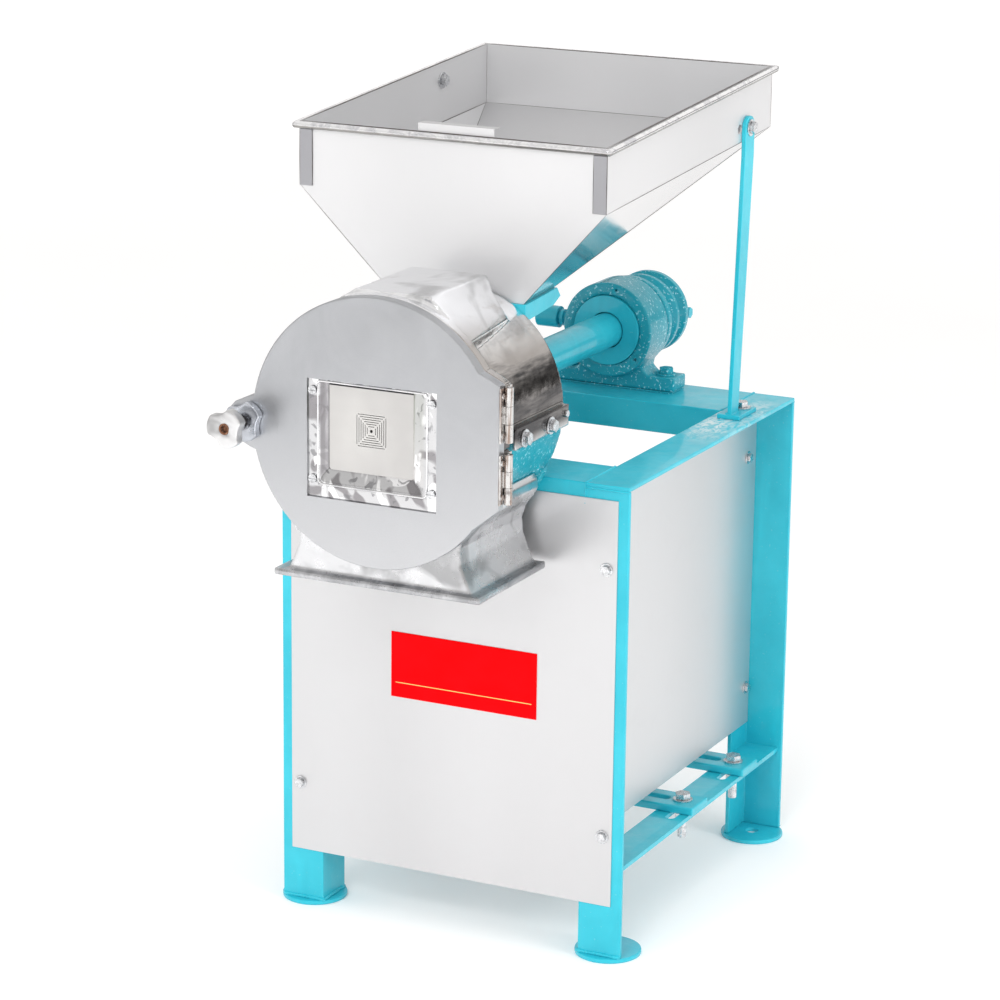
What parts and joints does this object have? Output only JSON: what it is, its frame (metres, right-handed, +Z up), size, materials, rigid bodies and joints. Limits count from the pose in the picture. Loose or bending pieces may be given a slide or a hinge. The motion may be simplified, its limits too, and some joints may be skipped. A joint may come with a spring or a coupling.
{
  "type": "hammer mill",
  "caption": "Small hammer mill on an angle-iron frame, with a hopper, round hinged door, drum casing, outlet spout, overhung rotor shaft and V-belt pulley.",
  "frame": {"origin": "floor level at the centre of the four anchor holes in the foot discs", "axes": "+Z up, -Y towards the door (front), +X towards the door hinges"},
  "size_m": [0.4305, 0.755, 0.8972],
  "materials": {
    "teal_paint": "gloss enamel, brushed on",
    "stainless": "bright sheet",
    "cast_aluminium": "polished casting",
    "door_aluminium": "satin machined",
    "zinc_bolt": "zinc plated",
    "label_red": "gloss enamel",
    "bearing_steel": "ground",
    "hammer_steel": "hardened, dark"
  },
  "bodies": {
    "root": {"leg_front_right": "teal_paint", "leg_front_left": "teal_paint", "leg_rear_right": "teal_paint", "leg_rear_left": "teal_paint", "foot_discs": "teal_paint", "front_rail": "teal_paint", "rear_rail": "teal_paint", "side_rail_right": "teal_paint", "side_rail_left": "teal_paint", "lower_rail_right": "teal_paint", "lower_rail_left": "teal_paint", "motor_plates_right": "teal_paint", "motor_plates_left": "teal_paint", "motor_plate_bolts": "zinc_bolt", "front_panel": "stainless", "side_panel_right": "stainless", "side_panel_left": "stainless", "panel_bolts": "zinc_bolt", "label_plate": "label_red", "upper_casing": "cast_aluminium", "lower_casing": "teal_paint", "spout": "cast_aluminium", "casing_bolts": "zinc_bolt", "screen": "hammer_steel", "casing_hinges": "zinc_bolt", "front_bearing_housing": "teal_paint", "rear_bearing_housing": "teal_paint", "pedestal_fixings": "teal_paint", "bearing_covers": "teal_paint", "bearing_outer_rings": "bearing_steel", "grease_cup": "teal_paint", "hopper_shell": "stainless", "hopper_rim": "stainless", "hopper_fittings": "stainless", "feed_chute": "teal_paint", "strut_right": "teal_paint", "strut_left": "teal_paint", "strut_bolts": "zinc_bolt"},
    "rotor": {"shaft": "teal_paint", "rotor_discs": "hammer_steel", "hammer_pins": "bearing_steel", "bearing_inner_rings": "bearing_steel", "bearing_balls": "bearing_steel", "pulley": "teal_paint", "set_screw": "teal_paint"},
    "door": {"door": "door_aluminium", "window_frame": "stainless", "vent_plate": "stainless", "window_screws": "zinc_bolt", "door_hinge_leaves": "zinc_bolt"},
    "knob": {"star_knob": "cast_aluminium", "lock_star": "cast_aluminium", "knob_stud": "zinc_bolt"},
    "gate": {"feed_gate": "stainless"},
    "grease_cap": {"grease_cap": "teal_paint"},
    "hammer_1": {"hammer_row_1": "hammer_steel"},
    "hammer_2": {"hammer_row_2": "hammer_steel"},
    "hammer_3": {"hammer_row_3": "hammer_steel"},
    "hammer_4": {"hammer_row_4": "hammer_steel"}
  },
  "joints": [
    {"name": "door_hinge", "type": "hinge", "parent": "root", "child": "door", "pos_m": [0.1455, -0.391, 0.595], "axis": [0, 0, 1], "range_deg": [0, 120]},
    {"name": "knob_turn", "type": "hinge", "parent": "door", "child": "knob", "pos_m": [-0.146, -0.418, 0.591], "axis": [0, 1, 0], "continuous": true},
    {"name": "rotor_spin", "type": "hinge", "parent": "root", "child": "rotor", "pos_m": [0, 0, 0.593], "axis": [0, 1, 0], "continuous": true},
    {"name": "hammer_swing_1", "type": "hinge", "parent": "rotor", "child": "hammer_1", "pos_m": [0.03536, -0.298, 0.62836], "axis": [0, 1, 0], "range_deg": [-60, 60]},
    {"name": "hammer_swing_2", "type": "hinge", "parent": "rotor", "child": "hammer_2", "pos_m": [-0.03536, -0.298, 0.62836], "axis": [0, 1, 0], "range_deg": [-60, 60]},
    {"name": "hammer_swing_3", "type": "hinge", "parent": "rotor", "child": "hammer_3", "pos_m": [-0.03536, -0.298, 0.55764], "axis": [0, 1, 0], "range_deg": [-60, 60]},
    {"name": "hammer_swing_4", "type": "hinge", "parent": "rotor", "child": "hammer_4", "pos_m": [0.03536, -0.298, 0.55764], "axis": [0, 1, 0], "range_deg": [-60, 60]},
    {"name": "gate_slide", "type": "slide", "parent": "root", "child": "gate", "axis": [0, 0, 1], "range_m": [0, 0.05]},
    {"name": "grease_cap_turn", "type": "hinge", "parent": "root", "child": "grease_cap", "pos_m": [-0.085, 0.184, 0.596], "axis": [-1, 0, 0], "continuous": true}
  ]
}
